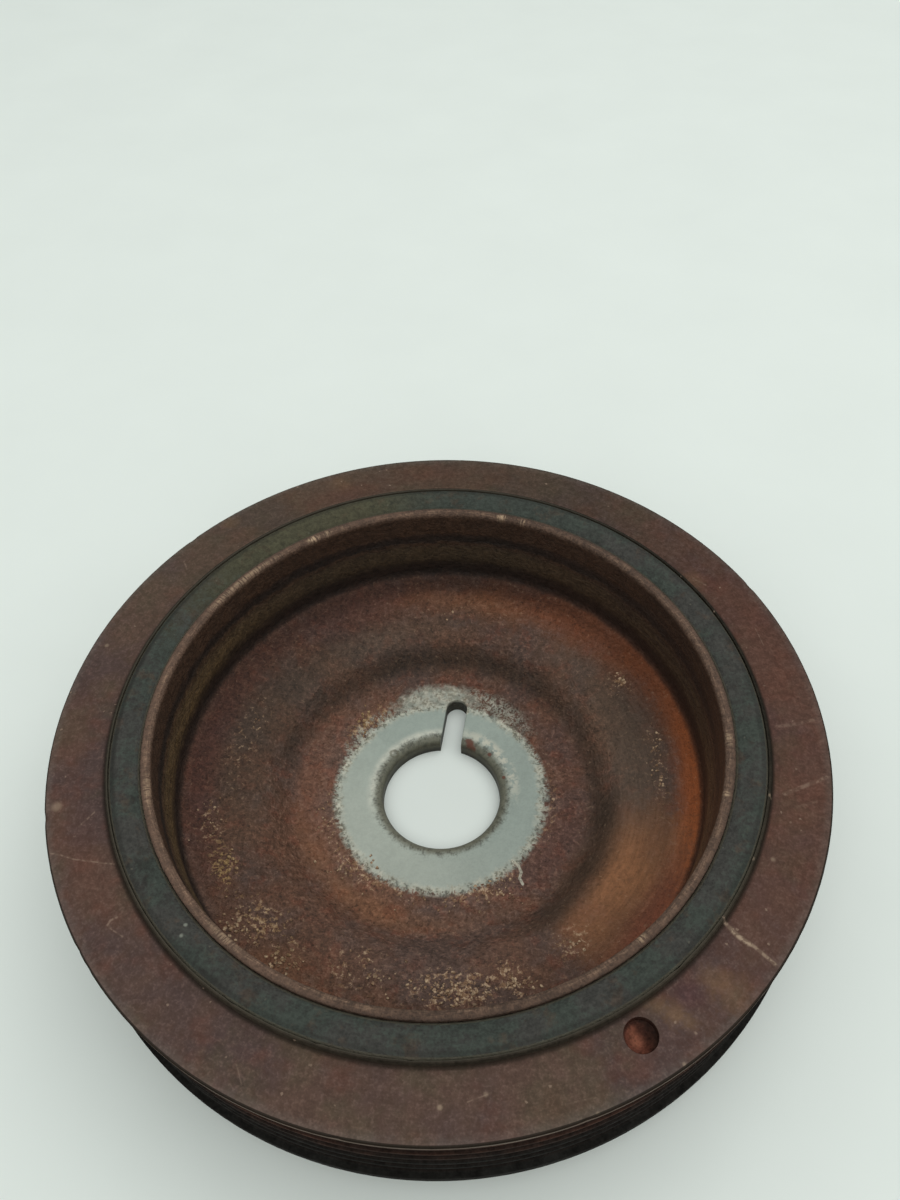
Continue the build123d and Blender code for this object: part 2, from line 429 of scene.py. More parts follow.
ring = {
    "segments": 600,              # steps of a full turn
    "smooth": 40,                 # angle up to which two faces shade as one
    "wall": 12.0,                 # from the rubber to the front flange
    "lipHeight": 1.2, "lipFoot": 0.8, "lipTop": 0.45,
    "backFlangeProud": 0.35, "crestRecess": 0.6,
    "frontFlange": 1.45, "backFlange": 2.54,
    "ribPitch": 3.56, "grooveCount": 6, "grooveDepth": 2.7, "grooveAngle": 40.0, "ribLand": 0.75,
    "frontEdge": (0.25, 0.45), "backChamfer": 0.6, "boreChamfer": 0.8,
    "edgeRound": 0.12, "crestRound": 0.16, "valleyRound": 0.3, "lipRound": 0.15, "lipFootRound": 0.25,
    "drillRadius": 2.75, "drillDepth": 1.4, "drillGap": 1.05, "drillAngle": -52.2, "drillPoint": 118.0,
    "drillBurr": 0.3,
    "pitSize": 1.1, "pitDepth": 0.03,
    # dents: angle, size and depth, then how many small ones lie scattered on the face
    "lipDents": (
        (276, 0.7, 0.16), (262, 0.6, 0.15), (248, 0.8, 0.12), (318, 0.9, 0.16), (92, 0.7, 0.15),
        (20, 1, 0.12),
    ),
    "rimDents": (
        (226, 1.1, 0.12), (229, 0.7, 0.1), (324, 0.8, 0.12), (297, 1, 0.12), (268, 0.8, 0.14),
        (148, 0.9, 0.15), (35, 0.9, 0.15), (205, 1, 0.14),
    ),
    "faceDents": 26,
    **tones(
        brown=(84, 65, 57), purple=(75, 60, 57), red=(94, 59, 48), olive=(78, 69, 55), tan=(120, 94, 70),
        pale=(104, 101, 96), cream=(176, 154, 132), dirt=(34, 29, 23), pink=(104, 84, 76),
        violet=(74, 54, 58), scar=(150, 128, 112), lip=(47, 42, 35), seamDust=(86, 81, 71),
        flange=(122, 110, 100), rustHole=(102, 60, 48), holeDark=(44, 30, 25), holeGlint=(168, 108, 84),
        trackRed=(82, 55, 45), trackGrey=(42, 41, 39), crest=(28, 26, 24), groove=(36, 29, 26),
        backRust=(70, 54, 46), backDirt=(38, 33, 29), backRed=(92, 56, 42),
    ),
    # stains: radius, angle, half width, half angle, tone, strength
    "broadStains": ((70, 112, 14, 52, "olive", 0.4), (70, 6, 14, 46, "red", 0.3)),
    "rustStains": (
        (68, 118, 3, 9, "red", 0.35), (71, 100, 3, 8, "red", 0.3), (70, 215, 3, 9, "red", 0.25),
        (70, 30, 4, 12, "red", 0.25), (72, 190, 3, 7, "red", 0.2),
    ),
    # specks: x, y, size, strength
    "tanSpecks": (
        (44.5, -49.4, 1.3, 0.4), (47.3, -50.2, 1.6, 0.45), (49.6, -51, 1.2, 0.35),
        (53.4, -43, 2, 0.3), (42.5, -48.9, 0.9, 0.35), (50, 43.5, 2, 0.3), (-34, 63, 2, 0.3),
        (-57.5, 47, 1.6, 0.35), (56.5, -45.5, 2.6, 0.3),
    ),
    "creamSpecks": (
        (-67.4, -29.6, 0.9, 0.3), (12.1, -69.4, 0.4, 0.42), (18.8, -66.5, 0.35, 0.25),
        (48.8, -57.5, 0.3, 0.35), (63.9, -8.6, 0.35, 0.35), (60.2, -21.7, 0.35, 0.25),
        (64, -20.8, 0.38, 0.3), (-72.5, 8, 0.4, 0.3), (36, -66.6, 0.3, 0.3),
    ),
    # scratches of each tone: width, strength, then the places they run through
    "scratches": {
        "cream": (
            (0.5, 0.45, (55.4, -33.7), (57.8, -35.9), (60.3, -37.2), (63.4, -39.6)),
            (0.7, 0.5, (56.4, -34.6), (57.8, -35.9), (59.4, -36.8)),
        ),
        "scar": (
            (0.4, 0.5, (55, -33.2), (55.8, -34)),
            (0.24, 0.42, (-64.6, -38.7), (-62.6, -38.8), (-59.9, -39.2), (-55.6, -39.1), (-52.4, -39)),
            (0.3, 0.32, (-61.6, -32.9), (-59.9, -29.7)),
            (0.6, 0.36, (66.8, -7.2), (70.6, -5), (74.7, -2.6)), (0.4, 0.12, (68.5, -9.8), (72.5, -8)),
            (0.6, 0.2, (66.1, 7.5), (69.6, 8.6), (73.2, 10.1)),
            (0.32, 0.45, (-48.2, -48.3), (-49.1, -49), (-49.3, -49.8), (-48.6, -50.3)),
            (0.22, 0.3, (-48.6, -50.4), (-45.9, -51.4)), (0.35, 0.35, (50, 44), (52.6, 42.6)),
            (0.25, 0.35, (-64, 33.4), (-62.6, 31.2)), (0.2, 0.25, (62.8, 32), (64.4, 27.5)),
            (0.2, 0.3, (16.2, -68), (19.6, -66.2)), (0.2, 0.2, (-20.5, -68.2), (-18.9, -70.9)),
            (0.2, 0.25, (30.5, -66.2), (35.5, -64.4)),
        ),
    },
    # painted light and shade: radius, angle, half width, half angle, softness, strength
    "shading": ((70, 64, 12, 34, 0.7, -0.13), (70, 245, 14, 95, 0.6, 0.12), (64.9, 108, 0.9, 40, 0.6, 0.45)),
    "footShading": ((65, 112, 9, 34, 0.6, -0.8), (65, 30, 9, 46, 0.6, 0.2)),
    "lipShading": ((64, 36, 9, 50, 0.6, -0.45), (64, 330, 9, 22, 0.6, 0.6), (64, 240, 9, 22, 0.6, 0.45)),
}
ring["bore"] = rubberCad["radius"]
ring["front"] = ringCad["high"] - ring["lipHeight"]
ring["back"] = ringCad["low"]
ring["radius"] = ring["bore"] + ring["wall"]
ring["drillPlace"] = polar(
    ring["bore"] + ring["lipFoot"] + ring["drillGap"] + ring["drillRadius"], ring["drillAngle"], ring["front"]
)


def ringSkin():
    w = Wires("rusted iron", ring, 0.06)
    grit, loose, _, medium, fine = w.gritty()
    r, z, front, back, bore = w.radius, w.z, ring["front"], ring["back"], ring["bore"]
    clump, brushed = w.grain(8, 3, 0.6), w.around(0.3, 9)
    w.colour = w.mixed("brown", "purple", w.fade(w.add(w.grain(14, 3), (loose, 0.1)), 0.4, 0.64))
    w.lay("red", w.fade(clump, 0.48, 0.7), 0.4)
    w.lay("olive", w.fade(w.grain(10, 3, 0.6), 0.48, 0.7), 0.5)
    w.lay("pink", w.fade(w.add((medium, 0.5), (fine, 0.5)), 0.5, 0.68), 0.3)
    # stains, wear and painted light and shade of the front face
    onFace = w.fade(z, front - 0.3, front - 0.1)
    ragged = w.add(w.wander(2.5, 0.55), (loose, 0.5))
    w.stains(ring["broadStains"], 0.5, ragged)
    w.spots("tan", ring["tanSpecks"], 0.9, w.add(w.wander(2.5, 1.0), (loose, 0.7)), onFace)
    w.lay("violet", w.spot(49.6, -46.6, 1.9, 0.7, ragged), 0.5, onFace)
    w.stains(ring["rustStains"], 0.8, ragged, onFace)
    outer = w.fade(w.add(r, w.wander(1.2, 0.9)), ring["radius"] - 2.2, ring["radius"] - 0.3)
    w.lay("pale", outer, onFace, 0.2)
    # grit and brushed streaks, with painted light and shade from the shading rows
    w.colour = w.shade(w.colour, 0.67, (grit, 0.52), (w.keen(brushed), 0.08), *w.patches(ring["shading"]))
    # painted shade in the corner at the foot of the lip, varied round the ring by the foot shading rows
    foot = w.fade(r, bore + 1.6, bore + 0.8)
    above = w.fade(z, front + 0.15, front + 0.6)
    w.lay("dirt", foot, w.add(0.8, *w.patches(ring["footShading"])), onFace)
    # the lip's own dark tone, with painted light and shade round the ring from the lip shading rows
    lip = w.shade("lip", 0.6, (grit, 0.8), *w.patches(ring["lipShading"]))
    w.lay(lip, above, 0.92)
    # painted light in the groove between the lip and the rubber, against its shade, weaker at about 15
    # degrees
    dusty = w.add(0.5, (w.patch(64, 15, 9, 44, 0.5), -0.4))
    w.lay("seamDust", above, w.fade(r, bore + 0.3, bore + 0.05), dusty)
    broken, waver = w.most(w.fade(medium, 0.42, 0.56), 0.3), w.wander(0.95, 0.12)
    for tone, rows in ring["scratches"].items():
        for width, share, *places in rows:
            w.lay(tone, w.stroke(places, width, waver), broken, share, onFace)
    onTop = w.fade(z, front - 1.5, front - 0.8)
    dots, pick = w.cells(1.7, w.shaken(0.5, 0.6))
    w.lay("scar", w.fade(dots, 0.17, 0.1), w.fade(pick, 0.88, 0.92), onFace, 0.5)
    w.spots("cream", ring["creamSpecks"], 0.6, w.wander(0.95, 0.5), onTop)
    # the belt track: red under the flange, darker and greyer towards the back
    below = w.fade(z, front - 0.05, front - 0.2)
    outside = w.times(below, w.fade(r, 69, 71), w.fade(z, back + 0.05, back + 0.3))
    track = w.mixed("trackGrey", "trackRed", w.fade(w.add(z, w.wander(5, 5)), 19, 28))
    # painted shade: the crests and the up-facing lower flank of each groove are darkened against the light
    # they catch
    track = w.over(track, "crest", w.fade(r, 74.4, 75.3), w.add(0.3, (w.keen(clump), 0.4)))
    rib = w.math("FRACT", w.math("DIVIDE", w.less(z, back + ring["backFlange"]), ring["ribPitch"]))
    track = w.over(track, "groove", w.fade(rib, 0.34, 0.22), w.fade(r, 75.5, 74.9), 0.8)
    w.lay(w.shade(track, 0.5, (grit, 0.8)), outside)
    # painted shade just under the chamfer of the front edge
    w.lay("dirt", w.fade(z, front - 0.6, front - 0.5), w.fade(r, 75.56, 75.66), 0.85)
    # the flange land, worn and painted with a highlight
    rubbed = w.times(w.band(z, front - 1.2, front - 0.62, 0.1), w.fade(r, 75.6, 75.9))
    w.lay("flange", rubbed, w.add(0.5, (w.keen(w.around(0.5, 14)), 0.45)))
    # fresh red rust in the balancing hole, with painted shade on its side towards +X and +Y and near its
    # wall, and painted glints left of its middle
    x, y, _ = ring["drillPlace"]
    speck = w.wander(0.95, 0.7)
    tilt = w.add((w.less(w.x, x), 0.8), (w.less(w.y, y), 0.6), w.wander(2.5, 0.5))
    inside = w.over("rustHole", "holeDark", w.fade(tilt, -0.7, 2.0), 0.85)
    inside = w.over(inside, "holeDark", w.fade(w.away(x, y), 2.1, 2.6), 0.6)
    inside = w.over(inside, "holeGlint", w.spot(x - 0.45, y - 0.35, 0.9, 0.8, speck), 0.5)
    inside = w.over(inside, "holeGlint", w.spot(x - 1.3, y + 0.9, 0.7, 0.8, speck), 0.3)
    hole = w.times(w.spot(x, y, ring["drillRadius"] + 0.2, 0.03), w.band(z, front - 5, front - 0.11, 0.09))
    w.lay(w.shade(inside, 0.5, (grit, 0.9)), hole)
    # the back: darker rust with oily dirt in its corners
    behind = w.over("backRust", "backRed", w.fade(clump, 0.5, 0.68), 0.6)
    rimOil = w.fade(w.add(r, w.wander(2.5, 1.2)), 73.5, 75.5)
    boreOil = w.fade(w.add(r, w.wander(2.5, 1.0)), 66.8, 65.2)
    oily = w.most(rimOil, boreOil, w.fade(w.grain(10, 3, 0.6), 0.54, 0.66))
    behind = w.shade(w.over(behind, "backDirt", oily, 0.6), 0.6, (grit, 0.7), (w.keen(brushed), 0.12))
    w.lay(behind, w.fade(z, back + 0.6, back + 0.2))
    level = w.mixedValue(w.add((grit, 0.9), (brushed, 0.3)), w.times(grit, 0.3), outside)
    rough = w.mixedValue(w.add(0.55, (grit, 0.2)), 0.95, outside)
    return w.finish(rough, w.relief(level, 0.1))


def ringCorners():
    r, b = ring["radius"], ring["bore"]
    front, back, soft = ring["front"], ring["back"], ring["edgeRound"]
    crest, flange, top = r - ring["crestRecess"], r + ring["backFlangeProud"], front + ring["lipHeight"]
    valley, mouth = crest - ring["grooveDepth"], ring["ribPitch"] - ring["ribLand"]
    trackBack, trackFront = back + ring["backFlange"], front - ring["frontFlange"]
    slope = ring["grooveDepth"] * math.tan(math.radians(ring["grooveAngle"] / 2))
    corners = [
        corner(b, back + ring["boreChamfer"], soft),
        corner(b + ring["boreChamfer"], back, soft, step=3.0),
        corner(flange - ring["backChamfer"], back, soft, step=1.0),
        corner(flange, back + ring["backChamfer"], soft),
        corner(flange, trackBack, soft),
        corner(crest, trackBack, soft),
    ]
    for k in range(ring["grooveCount"]):
        low = trackBack + k * ring["ribPitch"]
        if k:
            corners.append(corner(crest, low, ring["crestRound"]))
        corners.append(corner(valley, low + slope, ring["valleyRound"]))
        corners.append(corner(valley, low + mouth - slope, ring["valleyRound"]))
        if k < ring["grooveCount"] - 1:
            corners.append(corner(crest, low + mouth, ring["crestRound"]))
    return corners + [
        corner(crest, trackFront, soft / 2),
        corner(r, trackFront, soft),
        corner(r, front - ring["frontEdge"][1], soft),
        corner(r - ring["frontEdge"][0], front, soft, step=0.8),
        corner(b + ring["lipFoot"], front, ring["lipFootRound"], step=0.4),
        corner(b + ring["lipTop"], top, ring["lipRound"]),
        corner(b, top, ring["lipRound"], step=3.0),
    ]


def buildRing():
    piece = turned("ironRing", ringCorners(), ring["segments"], [ringSkin()])
    x, y, top = ring["drillPlace"]
    radius, burr, floor = ring["drillRadius"], ring["drillBurr"], top - ring["drillDepth"]
    tip = radius / math.tan(math.radians(ring["drillPoint"] / 2))
    around = [2 * math.pi * k / 48 for k in range(48)]
    levels = [
        (floor - tip * 0.97, radius * 0.03), (floor - tip * 0.5, radius * 0.5), (floor, radius),
        (top - burr, radius), (top - burr * 0.3, radius + burr * 0.25), (top + 1, radius + burr),
    ]
    loops = [[(x + r * math.cos(a), y + r * math.sin(a), z) for a in around] for z, r in levels]
    cutAway(piece, stacked("drill", loops))
    front, lip = ring["front"], ring["bore"] + 0.3
    nicks = [(polar(lip, a, front + ring["lipHeight"]), size, depth) for a, size, depth in ring["lipDents"]]
    nicks += [(polar(ring["radius"], a, front - 0.2), size, depth) for a, size, depth in ring["rimDents"]]
    spread = random.Random(4)
    for k in range(ring["faceDents"]):
        place = polar(spread.uniform(66, 75), spread.uniform(0, 360), front)
        nicks.append((place, spread.uniform(0.5, 1.1), spread.uniform(0.03, 0.1)))
    etch(piece, lambda x, y, z: ring["pitDepth"] * pitted(x, y, z, ring["pitSize"]) + nearby(x, y, z, nicks))
    smoothed(piece, ring["smooth"])
    return piece


# the rubber ring

rubber = {
    "segments": 480, "smooth": 50,
    "edge": 0.5, "edgeRound": 0.2, "crown": 0.35, "crownSteps": 12, "belowRim": 0.45, "belowLip": 0.1,
    "pitSize": 1.6, "pitDepth": 0.05,
    **tones(
        slate=(61, 60, 57), green=(71, 68, 51), teal=(57, 62, 57), dust=(100, 97, 86), dark=(32, 32, 28),
        rust=(76, 58, 46), speck=(176, 180, 166), seam=(94, 88, 74),
    ),
    # stains: radius, angle, half width, half angle, tone, strength
    "stains": ((61, 130, 6, 30, "green", 0.85), (61, 85, 6, 20, "teal", 0.8)),
    # specks and dark spots: x, y, size, strength
    "specks": ((-35.6, -48.1, 0.28, 0.36), (-35.6, -50.1, 0.3, 0.36)),
    "darkSpots": ((-46.5, -38.5, 1.3, 0.35), (-47.8, -36.2, 0.9, 0.35), (-44.9, -41.6, 0.8, 0.35)),
}
rubber["outer"], rubber["inner"] = rubberCad["radius"], hubCad["radius"]
rubber["innerTop"] = hubCad["high"] - rubber["belowRim"]
rubber["outerTop"] = ringCad["high"] - rubber["belowLip"]


def rubberSkin():
    w = Wires("aged rubber", rubber, 0.15)
    grit, loose, *_ = w.gritty()
    r, outer, inner, rings = w.radius, rubber["outer"], rubber["inner"], w.around(0.3, 8)
    push = w.add(w.wander(5, 0.45), (loose, 0.5))
    w.colour = w.mixed("slate", "teal", w.fade(w.add(w.grain(9, 3), (loose, 0.2)), 0.42, 0.62))
    w.stains(rubber["stains"], 0.5, push)
    w.lay("rust", w.fade(w.grain(4, 4, 0.65), 0.54, 0.7), 0.4)
    w.lay("dark", w.fade(w.grain(5.5, 4, 0.62), 0.56, 0.7), 0.3)
    w.colour = w.shade(w.colour, 0.6, (grit, 0.78), (w.keen(rings), 0.1))
    onTop = w.fade(w.z, rubberCad["low"] + 3, rubberCad["low"] + 5)
    dots, pick = w.cells(1.5, w.shaken(0.5, 0.5))
    w.lay("dust", w.fade(dots, 0.17, 0.08), w.fade(pick, 0.86, 0.9), 0.5)
    w.spots("speck", rubber["specks"], 0.7, w.wander(0.95, 0.7), onTop)
    w.spots("dark", rubber["darkSpots"], 0.7, push)
    # painted shade in a band just inside the outer edge, stronger on the left
    worn = w.add(0.35, (w.patch(63, 180, 9, 30, 0.6), 0.3))
    w.lay("dark", w.band(r, outer - 1.3, outer - 0.5, 0.4), worn)
    # painted light on the edge chamfers, against the shade of the grooves beside them
    edges = w.most(w.fade(r, outer - 0.55, outer - 0.3), w.fade(r, inner + 0.6, inner + 0.35))
    w.lay("seam", edges, 0.6)
    return w.finish(w.add(0.66, (grit, 0.2)), w.relief(w.add(grit, (rings, 0.2)), 0.14))


def buildRubber():
    edge, inner, outer, soft = rubber["edge"], rubber["inner"], rubber["outer"], rubber["edgeRound"]
    low, innerTop, outerTop = rubberCad["low"], rubber["innerTop"], rubber["outerTop"]
    crown = []
    for k in range(1, rubber["crownSteps"]):
        share = k / rubber["crownSteps"]
        height = outerTop + (innerTop - outerTop) * share + rubber["crown"] * 4 * share * (1 - share)
        crown.append(corner(outer - edge + (inner - outer + 2 * edge) * share, height))
    corners = [
        corner(inner, innerTop - edge, soft, step=2.0),
        corner(inner, low + edge, soft),
        corner(inner + edge, low, soft),
        corner(outer - edge, low, soft),
        corner(outer, low + edge, soft),
        corner(outer, outerTop - edge, soft, step=0.5),
        corner(outer - edge, outerTop),
        *crown,
        corner(inner + edge, innerTop),
    ]
    piece = turned("rubberRing", corners, rubber["segments"], [rubberSkin()])
    depth, size = rubber["pitDepth"], rubber["pitSize"]
    etch(piece, lambda x, y, z: depth * pitted(x, y, z, size) if z > low + 1 else 0.0)
    smoothed(piece, rubber["smooth"])
    return piece


# the steel hub

hub = {
    "segments": 560, "smooth": 40,
    "plate": 4.2, "seat": 24.0, "dishAngle": 6.0, "rampFoot": 33.2, "rampAngle": 47.0, "rampRise": 5.6,
    "webAngle": 14.0, "seatBend": 12.0, "footBend": 5.0, "shoulderBend": 10.0, "cornerBend": 2.2,
    "rim": 1.9, "rimRound": 0.8, "rimOuterRound": 0.25,
    "waist": 0.9, "waistStart": 13.8, "waistEnd": 8.4, "waistBend": 5.0,
    "bore": 13.0, "boreEdge": 1.6, "keyWidth": 4.8, "keySlot": 11.7, "keyEdge": 0.2, "keySteps": 24,
    "washer": 23.25, "washerPlace": (-0.1, -0.3),
    "pitSize": 1.3, "pitDepth": 0.07, "barePits": 0.04,
    **tones(
        brown=(94, 66, 52), purple=(82, 64, 57), red=(102, 57, 42), plum=(80, 50, 44), pink=(116, 88, 74),
        orange=(126, 68, 36), amber=(128, 86, 57), grey=(88, 73, 61), dark=(42, 31, 25),
        gold=(158, 128, 86), cream=(196, 168, 138), tan=(138, 106, 80), black=(28, 23, 19),
        olive=(74, 60, 42), wallRed=(66, 46, 32), wallGold=(96, 75, 46), soft=(54, 42, 33),
        steel=(160, 170, 162), steelWarm=(176, 182, 172), steelPale=(204, 200, 184),
        bareDull=(150, 143, 124), sleeve=(90, 86, 70), creaseLight=(214, 212, 198), rustSpot=(98, 60, 48),
        shaft=(36, 33, 25), rimTone=(94, 73, 61), rimLight=(142, 115, 95), backRust=(82, 58, 47),
    ),
    # stains of the web and the dish: radius, angle, half width, half angle, tone, strength
    "stains": (
        (41, 128, 4, 30, "grey", 0.6), (43, 176, 6, 30, "grey", 0.5), (42, 20, 6, 34, "grey", 0.75),
        (40, 275, 5, 30, "purple", 0.5), (51.5, 184, 3.4, 34, "plum", 0.7), (50, 122, 6, 20, "plum", 0.55),
        (49.5, 84, 3.5, 24, "orange", 0.2), (47.5, 90, 3, 20, "amber", 0.35),
        (52, 240, 4, 22, "amber", 0.25), (51.5, 56, 4.6, 24, "orange", 0.55),
        (54, 6, 3.2, 24, "orange", 1), (54, 34, 2.6, 16, "orange", 0.6),
        (54.5, -14, 3, 20, "orange", 0.9), (44.5, -24, 9, 16, "amber", 0.9),
        (52.5, -30, 3, 14, "red", 0.8), (45, -42, 6, 5, "amber", 0.5), (43, 22, 4.5, 20, "dark", 0.2),
        # the amber row at 30.6 mm and the orange row at 29.5 mm are rust with painted light, the lit band
        # inside the ramp's foot
        (28, 180, 4, 50, "pink", 0.25), (30.6, 246, 2.4, 44, "amber", 0.35),
        (29.5, 188, 3, 24, "orange", 0.2), (29, 18, 4, 40, "plum", 0.25), (27, -24, 5, 20, "plum", 0.4),
    ),
    # painted shade round the foot of the ramp, in the same columns
    "smears": (
        (34.6, 96, 2.2, 66, "soft", 0.85), (35.4, 172, 1.3, 6, "soft", 0.5),
        (33.6, 22, 1.4, 26, "soft", 0.5), (35.4, -2, 2.6, 9, "soft", 0.75),
        (36.2, -24, 3.2, 18, "soft", 0.85), (37.6, -46, 2.6, 9, "soft", 0.7),
    ),
    # oil and dry rust of the back
    "backStains": (
        (50, 40, 6, 60, "dark", 0.5), (52, 200, 5, 80, "dark", 0.55), (44, 120, 5, 40, "orange", 0.45),
        (42, 300, 6, 50, "amber", 0.35), (47, 250, 4, 26, "grey", 0.5), (30, 70, 5, 70, "dark", 0.35),
        (28, 210, 4, 60, "plum", 0.5),
    ),
    # bands of the inner wall, the black ones painted shade at its bends: lowest, highest, softness, tone,
    # strength
    "wallBands": (
        (26.4, 27.9, 0.5, "black", 0.9), (25.4, 26.2, 0.4, "wallRed", 0.6), (18.6, 20.4, 0.8, "black", 0.4),
    ),
    # painted light and shade, then scaly ones: radius, angle, half width, half angle, softness, strength
    "shading": (
        (28, 265, 6, 150, 0.6, 0.2), (25.5, 245, 2.5, 120, 0.7, 0.2), (41, 300, 4, 60, 0.7, 0.16),
        (36, 250, 2.5, 60, 0.7, 0.14), (36, 15, 3, 34, 0.7, 0.16), (41, 15, 4, 34, 0.7, 0.1),
        (44, 165, 6, 36, 0.6, -0.26), (46, 60, 5, 18, 0.6, 0.18), (53, 115, 3, 62, 0.6, -0.36),
        (53, -14, 3, 30, 0.6, 0.3), (50, 34, 6, 22, 0.6, -0.14), (45, 270, 4, 20, 0.6, 0.12),
        (52.5, 84, 3.4, 22, 0.6, -0.16), (44, -30, 4, 14, 0.6, 0.1),
    ),
    "rimShading": ((57, 74, 9, 26, 0.6, -0.2), (57, 287, 9, 24, 0.6, -0.2), (57, 205, 9, 44, 0.6, 0.12)),
    "scaly": (
        (45.5, 283, 4.5, 11, 0.7, 1), (44, 258, 5, 8, 0.7, 0.7), (46, 296, 4.5, 5, 0.7, 0.9),
        (47, 234, 4, 10, 0.7, 0.9), (48.5, 216, 2.6, 6, 0.7, 1), (49, 203, 3, 8, 0.7, 0.6),
        (45, -46, 3.4, 6, 0.7, 0.7), (46.5, 38, 2.6, 4, 0.7, 0.8), (47, 12, 2, 12, 0.7, 0.6),
        (25, 232, 2.2, 34, 0.7, 0.9), (24.8, 300, 2, 24, 0.7, 0.9), (25.2, 142, 2.2, 18, 0.7, 1),
        (24.6, 0, 1.6, 34, 0.7, 0.6), (44, 178, 3, 16, 0.7, 0.5), (45, 95, 5, 20, 0.7, 0.2),
    ),
    # painted glints on the rim: angle, half angle, strength
    "knocks": (
        (84, 1, 0.8), (79, 0.7, 0.4), (129.5, 1.3, 0.8), (126, 0.8, 0.5), (3, 1.4, 0.4), (240, 3, 0.3),
        (-43, 0.8, 0.5), (-9.3, 0.4, 0.6), (150, 8, 0.4), (205, 3, 0.3),
    ),
    # rust spots of the bare seat: x, y, size
    "rustSpots": ((4.3, 13.6, 0.9), (4.6, 12.4, 1), (5.2, 11.9, 0.7), (9.3, 11, 0.45), (13.2, 5.6, 0.4)),
}
hub["radius"], hub["top"] = hubCad["radius"], hubCad["high"]


def rusted(w, ground, loose, clump, red, mottle, pink):
    # the hub's rust, which its front and back share
    w.colour = w.mixed(ground, "purple", w.fade(w.add(w.grain(12, 3), (loose, 0.15)), 0.4, 0.6))
    w.lay("red", w.fade(clump, 0.48, 0.68), red)
    w.lay("pink", w.fade(mottle, 0.52, 0.66), pink)


